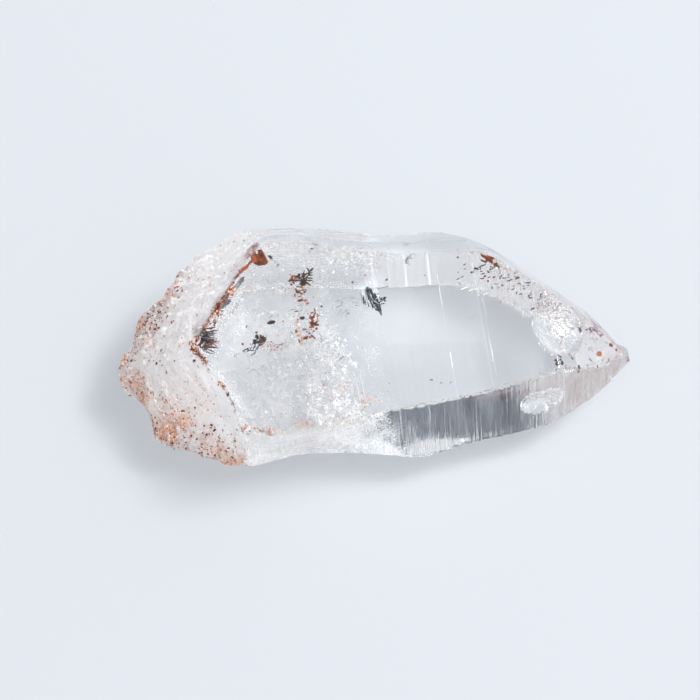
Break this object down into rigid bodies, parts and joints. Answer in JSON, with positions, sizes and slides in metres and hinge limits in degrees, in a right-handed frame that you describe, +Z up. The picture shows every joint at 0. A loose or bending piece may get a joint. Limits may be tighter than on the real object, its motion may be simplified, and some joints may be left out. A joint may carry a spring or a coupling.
{
  "type": "quartz crystal with kyanite inclusions",
  "caption": "Clear six-sided quartz crystal with a pointed tip and a rust-stained broken root, lying on a prism face, with dark kyanite blades and rust flakes sealed inside.",
  "frame": {"origin": "middle of the bounding box at the level the crystal rests on", "axes": "+X along the crystal's long axis towards its tip, +Z up, out of the level top prism face"},
  "size_m": [0.048, 0.024, 0.0133],
  "materials": {
    "quartz": "glossy natural crystal faces, matt and rust-stained where broken",
    "kyanite": "vitreous dark blue-grey blades",
    "iron_oxide": "dark, slightly metallic",
    "rust": "earthy rust red",
    "grey_mica": "pearly grey",
    "purple_flake": "dull purple"
  },
  "bodies": {
    "root": {"quartz_upper_half": "quartz", "quartz_lower_half": "quartz", "kyanite_blade_cluster": "kyanite", "kyanite_needles": "kyanite", "dark_rosette": "iron_oxide", "dark_sheaf": "iron_oxide", "rust_plate": "rust", "grey_lath": "grey_mica", "grey_plate_stack": "grey_mica", "mixed_flake_cluster": "iron_oxide", "rust_flake_group": "rust", "grey_spray": "grey_mica", "red_wedge": "rust", "dark_bead_chain": "iron_oxide", "purple_lens": "purple_flake", "orange_flake": "rust"}
  },
  "joints": []
}
